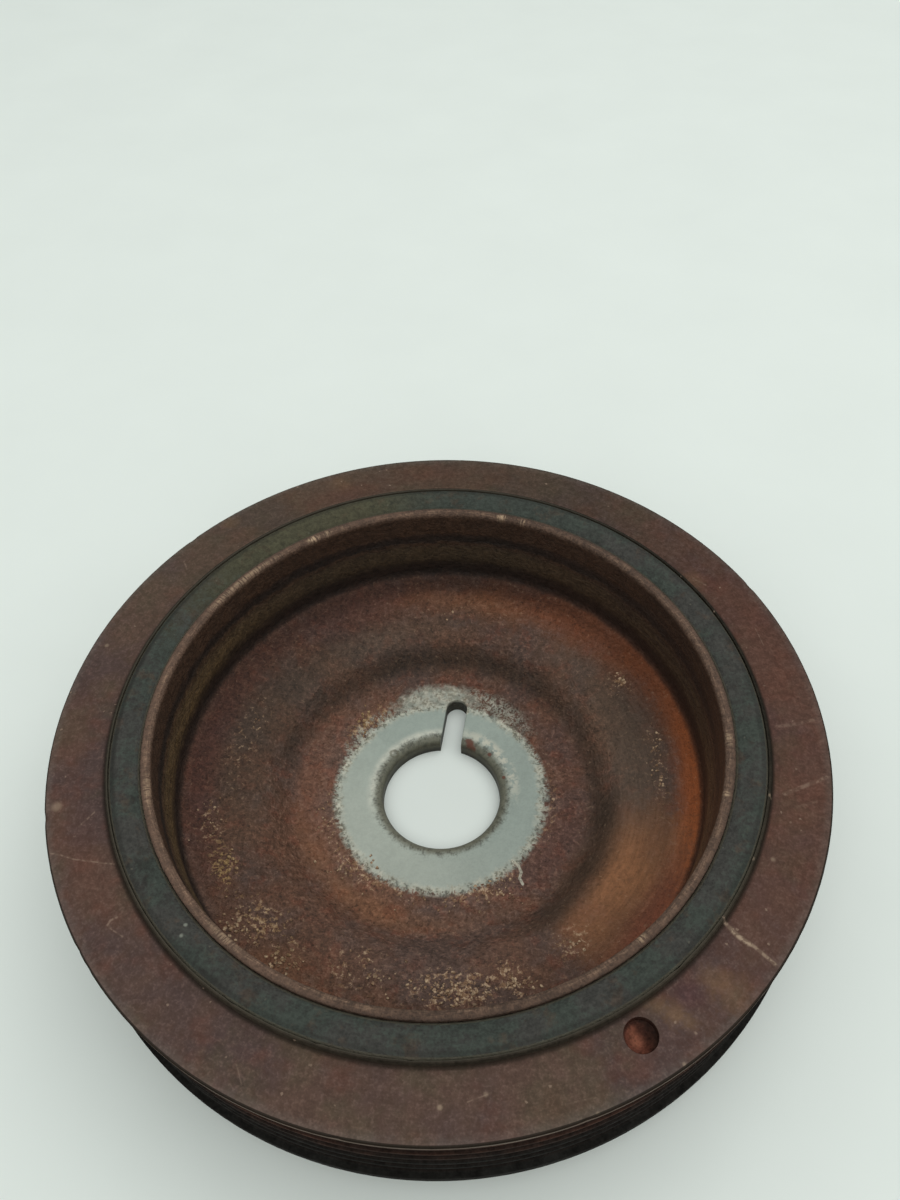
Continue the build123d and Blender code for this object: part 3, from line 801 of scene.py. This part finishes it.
def hubSkin():
    w = Wires("rusted steel", hub)
    grit, loose, coarse, medium, fine = w.gritty()
    r, z, clump, streak = w.radius, w.z, w.grain(3.4, 4, 0.65), w.around(0.5, 7)
    push = w.add(w.wander(7, 0.5), (w.less(streak, 0.5), 0.5), (loose, 0.45))
    mottle = w.add((medium, 0.6), (fine, 0.4))
    rusted(w, "brown", loose, clump, 0.5, mottle, 0.4)
    w.stains(hub["stains"], 0.8, push)
    # painted shade round the foot of the ramp
    w.stains(hub["smears"], 0.9, w.add(w.wander(7, 0.5), (w.less(streak, 0.5), 0.3)))
    # inner wall: dark red above the waist, with painted light in olive where the waist catches light and
    # painted shade in black at its bends
    height = w.add(z, w.wander(3.5, 1.2), (streak, 1.5))
    wall = w.over("dark", "olive", w.band(height, 20.0, 25.4, 1.8), 0.85)
    wall = w.over(wall, "wallRed", w.fade(height, 28.4, 29.4), 0.8)
    for low, high, soft, tone, share in hub["wallBands"]:
        wall = w.over(wall, tone, w.band(height, low, high, soft), share)
    wall = w.over(wall, "amber", w.patch(56, -20, 9, 26, 0.6), 0.3)
    streaky = w.keen(streak, 0.12)
    wall = w.over(wall, "black", w.patch(56, 20, 9, 46, 0.6), w.add(0.2, (streaky, 0.55)))
    # painted light in gold on the left part of the lit waist band
    gilt = w.times(w.patch(56, 188, 9, 34, 0.6), w.band(height, 20.2, 25.0, 2.4))
    wall = w.over(wall, "wallGold", gilt, w.add(0.25, (streaky, 0.6)))
    w.lay(wall, w.times(w.fade(r, 53.6, 55.0), w.fade(z, 15.0, 17.5)), 0.9)
    # painted shade in the corner where the wall meets the web
    foot = w.band(w.add(z, w.wander(3.5, 0.4)), 14.9, 17.0, 0.8)
    w.lay("black", foot, w.fade(r, 54.0, 54.7), 0.75)
    # painted light and shade, then grit; the right side is brushed rather than gritty
    brushed = w.add(
        (w.keen(streak, 0.18), 0.45), (w.keen(w.around(0.32, 5), 0.2), 0.2),
        (w.keen(w.around(1.1, 10), 0.16), 0.35),
    )
    calm = w.times(w.patch(47, 2, 13, 52, 0.6), 0.55)
    value = w.mixedValue(w.add(0.56, (grit, 0.92)), w.add(0.62, (brushed, 0.82)), calm)
    w.colour = w.shade(w.colour, (w.add(1.0, *w.patches(hub["shading"])), value))
    # loose scale: thick on the near side of the web and round the washer's mark
    crowd = w.most(*w.patches(hub["scaly"], push), 0.06)
    flakes = w.noise(0.85, 3, 0.72, w.shaken(0.8, 0.5)).outputs["Fac"]
    flakes = w.add(flakes, (crowd, w.fade(clump, 0.38, 0.6), 0.15))
    fleck = w.times(w.fade(flakes, 0.6, 0.68), w.fade(r, 55.2, 54.4))
    golden = w.most(
        (w.patch(48.5, 216, 3, 8, 0.7, push), 0.8), (w.patch(47, 236, 4, 9, 0.7, push), 0.35),
        (w.patch(27, 143, 4, 12, 0.7), 0.5),
    )
    flake = w.mixed(w.mixed("tan", "cream", w.fade(medium, 0.44, 0.62)), "gold", golden)
    w.lay(flake, fleck, w.add(0.1, (crowd, 0.8)))
    clean = w.less(1.0, w.times(w.patch(47, -12, 10, 38, 0.5), 0.75))
    w.lay("black", w.fade(mottle, 0.4, 0.33), 0.45, clean, w.fade(r, 55, 54))
    # bare steel where the bolt's washer sat, ragged at its edge
    spokes, across = w.spokes(0.4, 1.6, 23, 2), w.away(*hub["washerPlace"])
    reach = w.add(
        across, w.wander(1.7, 0.7), (w.less(spokes, 0.5), 2.6),
        (w.patch(23, 0, 5, 14, 0.6), 0.5), (w.patch(23, 150, 5, 16, 0.6), 0.5),
    )
    face = w.fade(reach, hub["washer"] + 0.3, hub["washer"] - 0.3)
    thin = w.add((w.spokes(0.7, 1.4, 25, 3), 0.5), (w.grain(1.1, 3, 0.7), 0.5))
    drift = w.wander(1.7, 0.5)
    thin = w.most(
        (w.patch(24.6, 102, 3.4, 21, 0.35, drift), w.fade(thin, 0.3, 0.44)),
        (w.patch(24.9, 76, 2.9, 26, 0.5, drift), w.fade(w.add((thin, 0.6), (fine, 0.4)), 0.42, 0.55), 0.75),
        (w.patch(23.7, 142, 1.8, 22, 0.5, drift), w.fade(thin, 0.47, 0.55), 0.8),
        (w.fade(across, 24.4, 23.4), w.fade(thin, 0.42, 0.53), 0.9),
    )
    bare = w.times(w.most(face, (thin, 0.85)), w.fade(r, 34, 32))
    steel = w.mixed("steel", "steelWarm", w.patch(20, 235, 9, 70, 0.7))
    patchy = w.keen(coarse)
    washed = w.most(w.fade(reach, 21.2, 22.6), w.fade(across, 22.8, 23.6))
    washed = w.times(washed, w.add(0.35, (patchy, 0.5)))
    steel = w.mixed(steel, w.mixed("bareDull", "steelPale", w.keen(medium)), washed)
    # painted highlight on the rolled edge of the bore, strongest towards 142 degrees
    crease = w.times(w.band(r, 14.7, 16.2, 1.0), w.patch(15.5, 142, 8, 58, 0.4))
    steel = w.over(steel, "creaseLight", crease, w.add(0.45, (patchy, 0.5)))
    speckled = w.times(w.band(r, 15.0, 17.2, 0.8), w.patch(16, 42, 8, 34, 0.5))
    steel = w.over(steel, "steelPale", speckled, w.fade(w.add((medium, 0.5), (coarse, 0.5)), 0.44, 0.54), 0.8)
    shadow = w.patch(19, -32, 10, 80, 0.6)
    steel = w.shade(steel, 0.87, (grit, 0.16), (w.keen(w.grain(6, 3)), 0.06), (shadow, -0.15))
    # olive-grey on the rolled edge of the bore, partly its own tone and partly painted shade
    sleeve = w.fade(w.add(r, w.wander(1.7, 0.5), (loose, 0.4)), 15.8, 14.0)
    steel = w.over(steel, w.shade("sleeve", 0.8, (grit, 0.5)), sleeve, 0.85)
    sooty = w.fade(w.add((medium, 0.55), (fine, 0.2), (spokes, 0.25)), 0.475, 0.43)
    rings = w.most((w.band(r, 13.6, 15.6, 0.7), 0.6), (w.band(reach, 22.2, 23.8, 0.7), 0.9))
    steel = w.over(steel, "black", sooty, rings, 0.55)
    for x, y, size in hub["rustSpots"]:
        steel = w.over(steel, "rustSpot", w.spot(x, y, size, 0.35, w.wander(0.8, 0.6)), 0.9)
    oval = w.less(w.spot(-12.3, 8.1, 1.1, 0.2, w.wander(0.8, 0.35)), w.spot(-12.2, 8.0, 0.6, 0.3))
    w.lay(w.over(steel, "sleeve", oval, 0.6), bare)
    # the walls of the bore and the keyway, painted near black for the shade inside them, then the curled
    # strand
    walls = w.times(w.fade(z, hub["plate"] - 0.25, hub["plate"] - 1.3), w.fade(r, 25.6, 25.2))
    shaft = w.over("shaft", "sleeve", w.fade(r, 13.8, 13.3), w.fade(z, 0.6, 2.2), 0.5)
    w.lay(w.shade(shaft, 0.5, grit), walls, 0.93)
    w.lay("steelPale", w.stroke(scale["strand"], 0.4, w.wander(0.8, 0.12)), 0.9)
    # rim: worn and painted with a highlight on its round, painted light and shade by side, with a few painted
    # glints
    radial = w.spokes(0.3, 2, 56)
    rubbed = w.fade(w.add((w.around(0.35, 3.5), 0.6), (radial, 0.4)), 0.46, 0.66)
    rim = w.over("rimTone", "rimLight", rubbed, w.band(r, 56.3, 57.3, 0.5), 0.8)
    rim = w.shade(rim, 0.56, (grit, 0.7), *w.patches(hub["rimShading"]))
    rim = w.over(rim, "dark", w.fade(r, hub["radius"] - 0.5, hub["radius"] - 0.2), 0.25)
    for angle, along, share in hub["knocks"]:
        knock = w.patch(56.8, angle, 0.55, along, 0.8, w.wander(0.8, 0.6))
        rim = w.over(rim, "cream", knock, w.fade(radial, 0.4, 0.56), share)
    w.lay(rim, w.fade(z, hub["top"] - 1.7, hub["top"] - 0.5), w.fade(r, 54, 55))
    metal = w.times(bare, w.less(1.0, w.most(sleeve, walls)), 0.3)
    rough = w.mixedValue(w.add(0.62, (grit, 0.2)), w.add(0.46, (grit, 0.16)), bare)
    rusty = w.fade(r, hub["washer"] - 1.0, hub["washer"] + 0.6)     # a plain ring, to keep the bump cheap
    return w.finish(rough, w.relief(w.times(grit, w.add(0.04, rusty)), 0.28), metal)


def backSkin():
    w = Wires("rust of the back", hub, 0.2)
    grit, loose, coarse, medium, fine = w.gritty()
    r, clump = w.radius, w.grain(3.4, 4, 0.65)
    mottle = w.add((medium, 0.6), (fine, 0.4))
    rusted(w, "backRust", loose, clump, 0.4, mottle, 0.3)
    w.stains(hub["backStains"], 0.8, w.add(w.wander(7, 0.5), (loose, 0.45)))
    w.lay("soft", w.band(w.add(r, w.wander(3.5, 1.0)), 33.5, 38, 2.0), 0.6)
    w.lay("dark", w.fade(w.add(r, w.wander(3.5, 1.2)), 54.5, 57.5), 0.7)
    w.colour = w.shade(w.colour, 0.56, (grit, 0.8), (w.keen(w.around(0.5, 7)), 0.12))
    w.lay("black", w.fade(mottle, 0.4, 0.33), 0.45)
    # bare where it was clamped against the crankshaft
    ragged = w.add(r, w.wander(1.7, 0.7), (w.less(w.spokes(0.4, 1.6, 23, 2), 0.5), 2.6))
    bare = w.times(w.fade(ragged, 22.6, 22.0), w.fade(w.z, 0.9, 0.3), 0.9)
    steel = w.over("steel", "bareDull", w.fade(ragged, 20.5, 22), w.add(0.4, (w.keen(coarse), 0.6)))
    w.lay(w.shade(steel, 0.72, (grit, 0.26), (w.keen(w.around(0.4, 9)), 0.1)), bare)
    bump = w.relief(w.times(grit, w.add(0.3, w.fade(r, 21.5, 23.0))), 0.18)
    return w.finish(w.mixedValue(w.add(0.62, (grit, 0.2)), 0.5, bare), bump, w.times(bare, 0.3))


def hubCorners():
    front, under, plate, outer = 0, 1, hub["plate"], hub["radius"]
    slope = lambda degrees: math.tan(math.radians(degrees))
    wall = outer - hub["rim"]
    waist = wall - hub["waist"]
    foot = (hub["rampFoot"], plate + (hub["rampFoot"] - hub["seat"]) * slope(hub["dishAngle"]))
    shoulder = (foot[0] + hub["rampRise"] / slope(hub["rampAngle"]), foot[1] + hub["rampRise"])
    cornerZ = shoulder[1] + (waist - shoulder[0]) * slope(hub["webAngle"])

    def behind(point, before, after):
        # the plate's back corner, one plate thickness behind a front corner
        middle = math.radians((before + after) / 2)
        reach = plate / math.cos(math.radians((after - before) / 2))
        return (point[0] + reach * math.sin(middle), point[1] - reach * math.cos(middle))

    seatBack = behind((hub["seat"], plate), 0, hub["dishAngle"])
    footBack = behind(foot, hub["dishAngle"], hub["rampAngle"])
    shoulderBack = behind(shoulder, hub["rampAngle"], hub["webAngle"])
    cornerBack = shoulderBack[1] + (outer - shoulderBack[0]) * slope(hub["webAngle"])
    return [
        corner(hub["bore"], plate, hub["boreEdge"], front, 0.6),
        corner(hub["seat"], plate, hub["seatBend"]),
        corner(*foot, hub["footBend"]),
        corner(*shoulder, hub["shoulderBend"]),
        corner(waist, cornerZ, hub["cornerBend"]),
        corner(waist, hub["top"] - hub["waistStart"], hub["waistBend"], step=0.9),
        corner(wall, hub["top"] - hub["waistEnd"], 1.0),
        corner(wall, hub["top"], hub["rimRound"], step=0.4),
        corner(outer, hub["top"], hub["rimOuterRound"], step=3.0),
        corner(outer, cornerBack, hub["cornerBend"] + plate / 2, under, 2.0),
        corner(*shoulderBack, hub["shoulderBend"] - plate),
        corner(*footBack, hub["footBend"] + plate),
        corner(*seatBack, 16.0),
        corner(hub["bore"], 0, 0.2, front, 0.8),
    ]


def slotLoop(grow, height):
    # the keyway's outline seen from above, grown all round; it runs along +Y
    half = hub["keyWidth"] / 2 + grow
    middle = hub["bore"] + hub["keySlot"] - hub["keyWidth"] / 2
    loop = [(-half, hub["bore"] * 0.5, height), (half, hub["bore"] * 0.5, height)]
    for k in range(hub["keySteps"] + 1):
        a = math.pi * k / hub["keySteps"]
        loop.append((half * math.cos(a), middle + half * math.sin(a), height))
    return loop


def frontHeight(radius, outline):
    # height of the hub's front over a radius, between the bore and the foot of the wall
    for (r0, z0), (r1, z1) in zip(outline, outline[1:]):
        if r0 <= radius <= r1:
            return z0 + (z1 - z0) * (radius - r0) / (r1 - r0)
    return hub["plate"]


scale = {
    # crowds of flakes: x, y, spread along each, count and size
    "crowds": (
        (-39.7, -27.5, 1.3, 2.9, 26, 0.5), (-33.5, -39.5, 3.6, 2.6, 44, 0.46),
        (-22.5, -44.5, 3, 1.9, 34, 0.46), (-4, -44, 2.4, 3.4, 18, 0.42),
        (9.5, -45, 4.8, 2.8, 70, 0.46), (22, -41.8, 3, 1, 26, 0.46),
        (31, -33, 1.8, 1.2, 9, 0.42), (37, 29.3, 1, 1.5, 16, 0.44),
        (45.3, 12, 1.4, 4.6, 16, 0.36), (46.8, 4, 0.4, 1.3, 7, 0.44),
        (-45, -18, 2.4, 4.2, 20, 0.34), (-43, 6, 0.9, 1.8, 8, 0.36),
        (-20.4, 15.5, 1.6, 3.4, 22, 0.42), (-15.5, -21, 4.2, 2.4, 30, 0.4),
        (15.5, -20.6, 3.6, 2.4, 34, 0.4), (-24.6, -8, 1.1, 6, 14, 0.34),
        (-3, 45, 6, 2.4, 6, 0.32), (0, -26, 12, 2, 16, 0.34),
    ),
    "strand": ((17.4, -13.8), (18.9, -14.9), (19.6, -16.2), (19.4, -17.6), (20.2, -18.9)),
    "strandFlakes": 4, "strandSize": 0.24,
    "thick": 0.16, "sunk": 0.14, "taper": 0.72,
    "fromBore": 2.5, "fromRim": 4.1,           # no flake lies closer than this to the bore and the rim
}


def addScale(piece, corners):
    # small ragged flakes that stand on the front, each a closed form sunk a little into the plate
    outline, _ = roundedOutline(corners)
    start = next(i for i, p in enumerate(outline) if p[0] > hub["bore"] + hub["boreEdge"])
    front = [outline[start]]
    for p in outline[start + 1:]:
        if p[0] <= front[-1][0]:
            break
        front.append(p)
    spread = random.Random(11)
    places = []
    for x, y, wide, high, count, size in scale["crowds"]:
        for k in range(count):
            place = (spread.gauss(x, wide * 0.6), spread.gauss(y, high * 0.6))
            places.append((*place, size * spread.uniform(0.5, 1.35)))
    for a, b in zip(scale["strand"], scale["strand"][1:]):
        for k in range(scale["strandFlakes"]):
            share = k / scale["strandFlakes"]
            places.append((a[0] + (b[0] - a[0]) * share, a[1] + (b[1] - a[1]) * share, scale["strandSize"]))
    form = bmesh.new()
    form.from_mesh(piece.data)
    kept = 0
    for x, y, size in places:
        if not hub["bore"] + scale["fromBore"] < math.hypot(x, y) < hub["radius"] - scale["fromRim"]:
            continue
        kept += 1
        sides = spread.randint(5, 7)
        lean, turn = spread.uniform(0.55, 1.0), spread.uniform(0, math.pi)
        tall = scale["thick"] * spread.uniform(0.6, 1.3)
        low, high = [], []
        for k in range(sides):
            a = 2 * math.pi * (k + spread.uniform(-0.25, 0.25)) / sides
            dx = size * math.cos(a) * spread.uniform(0.7, 1.15)
            dy = size * lean * math.sin(a) * spread.uniform(0.7, 1.15)
            px = x + dx * math.cos(turn) - dy * math.sin(turn)
            py = y + dx * math.sin(turn) + dy * math.cos(turn)
            ground = frontHeight(math.hypot(px, py), front)
            low.append(form.verts.new(Vector((px, py, ground - scale["sunk"])) * mm))
            qx, qy = x + (px - x) * scale["taper"], y + (py - y) * scale["taper"]
            top = frontHeight(math.hypot(qx, qy), front) + tall * spread.uniform(0.7, 1.0)
            high.append(form.verts.new(Vector((qx, qy, top)) * mm))
        faces = [form.faces.new(high), form.faces.new(low[::-1])]
        for k in range(sides):
            n = (k + 1) % sides
            faces.append(form.faces.new((low[k], low[n], high[n], high[k])))
        for face in faces:
            face.material_index = 2
    form.to_mesh(piece.data)
    form.free()
    print("scale flakes:", kept)


def scaleSkin():
    w = Wires("loose scale", hub)
    *_, medium, fine = w.gritty()
    w.colour = w.mixed("tan", "cream", w.fade(w.grain(1.3, 3, 0.65), 0.42, 0.6))
    golden = w.most(
        (w.patch(48.5, 216, 3, 8, 0.5), 0.8), (w.patch(47, 236, 4, 9, 0.5), 0.4),
        (w.patch(26, 143, 4, 14, 0.5), 0.6),
    )
    w.lay("gold", golden)
    w.lay("brown", w.fade(medium, 0.5, 0.62), 0.6)
    w.lay("steelPale", w.stroke(scale["strand"], 0.9), 0.8)
    w.colour = w.shade(w.colour, 0.55, (w.keen(fine), 0.5))
    return w.finish(w.add(0.66, (fine, 0.2)), w.relief(fine, 0.08))


def buildHub():
    corners = hubCorners()
    piece = turned("steelHub", corners, hub["segments"], [hubSkin(), backSkin(), scaleSkin()])
    edge, top = hub["keyEdge"], hub["plate"]
    cutAway(piece, stacked("keyway", [
        slotLoop(0, -1), slotLoop(0, top - edge), slotLoop(edge * 0.3, top - edge * 0.3),
        slotLoop(edge, top), slotLoop(edge * 3, top + edge * 2),
    ]))

    def wear(x, y, z):
        r = math.hypot(x, y)
        if z < 0.5 or r < 14.5:                # the back face and the rolled edge stay plain
            return 0.0
        bare = r < hub["washer"] - 0.5
        return hub["pitDepth"] * pitted(x, y, z, hub["pitSize"], 4) * (hub["barePits"] if bare else 1.0)

    etch(piece, wear)
    addScale(piece, corners)
    smoothed(piece, hub["smooth"])
    return piece


pieces = {
    "inertia_ring": (buildRing(), "ring_iron"),
    "rubber_ring": (buildRubber(), "damper_rubber"),
    "hub": (buildHub(), "hub_steel"),
}
for node, (piece, slot) in pieces.items():
    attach(piece, "root")
    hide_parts(node)
    print(piece.name, "stands for", node)


# floor, light and camera

studio = {
    **tones(floor=(232, 238, 234)), "floorSize": 6.0, "floorRough": 0.75,
    "sky": (0.955, 1.0, 0.97, 1.0), "skyStrength": 0.66,
    "lamps": (                     # place, size and power of each softbox
        ((0.34, 0.26, 1.1), 1.1, 3.6),
        ((-0.05, -0.75, 1.2), 1.0, 3.1),
    ),
    "lampTone": (1.0, 1.0, 0.985),
    "aim": (0.0, 0.0, 0.02),
    "cameraPlace": (0.02329, -0.10505, 0.19896), "cameraTurn": (39.884, 1.333, 9.075),
    "lens": 29.55, "sensor": 36.0,
}


def buildStudio():
    scene = bpy.context.scene
    bpy.ops.mesh.primitive_plane_add(size=studio["floorSize"])
    floor = bpy.context.object
    floor.name = "floor"
    w = Wires("pale floor", studio)
    w.colour = w.shade("floor", 0.97, (w.grain(40, 3), 0.06))
    floor.data.materials.append(w.finish(studio["floorRough"]))
    world = bpy.data.worlds.new("pale sky")
    world.use_nodes = True
    background = world.node_tree.nodes["Background"]
    background.inputs[0].default_value = studio["sky"]
    background.inputs[1].default_value = studio["skyStrength"]
    scene.world = world
    for place, size, power in studio["lamps"]:
        light = bpy.data.lights.new("softbox", "AREA")
        light.size, light.energy, light.color = size, power, studio["lampTone"]
        lamp = bpy.data.objects.new("softbox", light)
        lamp.location = place
        lamp.rotation_euler = (Vector(studio["aim"]) - lamp.location).to_track_quat("-Z", "Y").to_euler()
        scene.collection.objects.link(lamp)
    lens = bpy.data.cameras.new("camera")
    lens.lens, lens.sensor_width, lens.clip_start = studio["lens"], studio["sensor"], 0.01
    camera = bpy.data.objects.new("camera", lens)
    camera.location = studio["cameraPlace"]
    camera.rotation_euler = Euler([math.radians(turn) for turn in studio["cameraTurn"]])
    scene.collection.objects.link(camera)
    scene.camera = camera
    scene.view_settings.view_transform = "Standard"
    print("studio ready")


buildStudio()
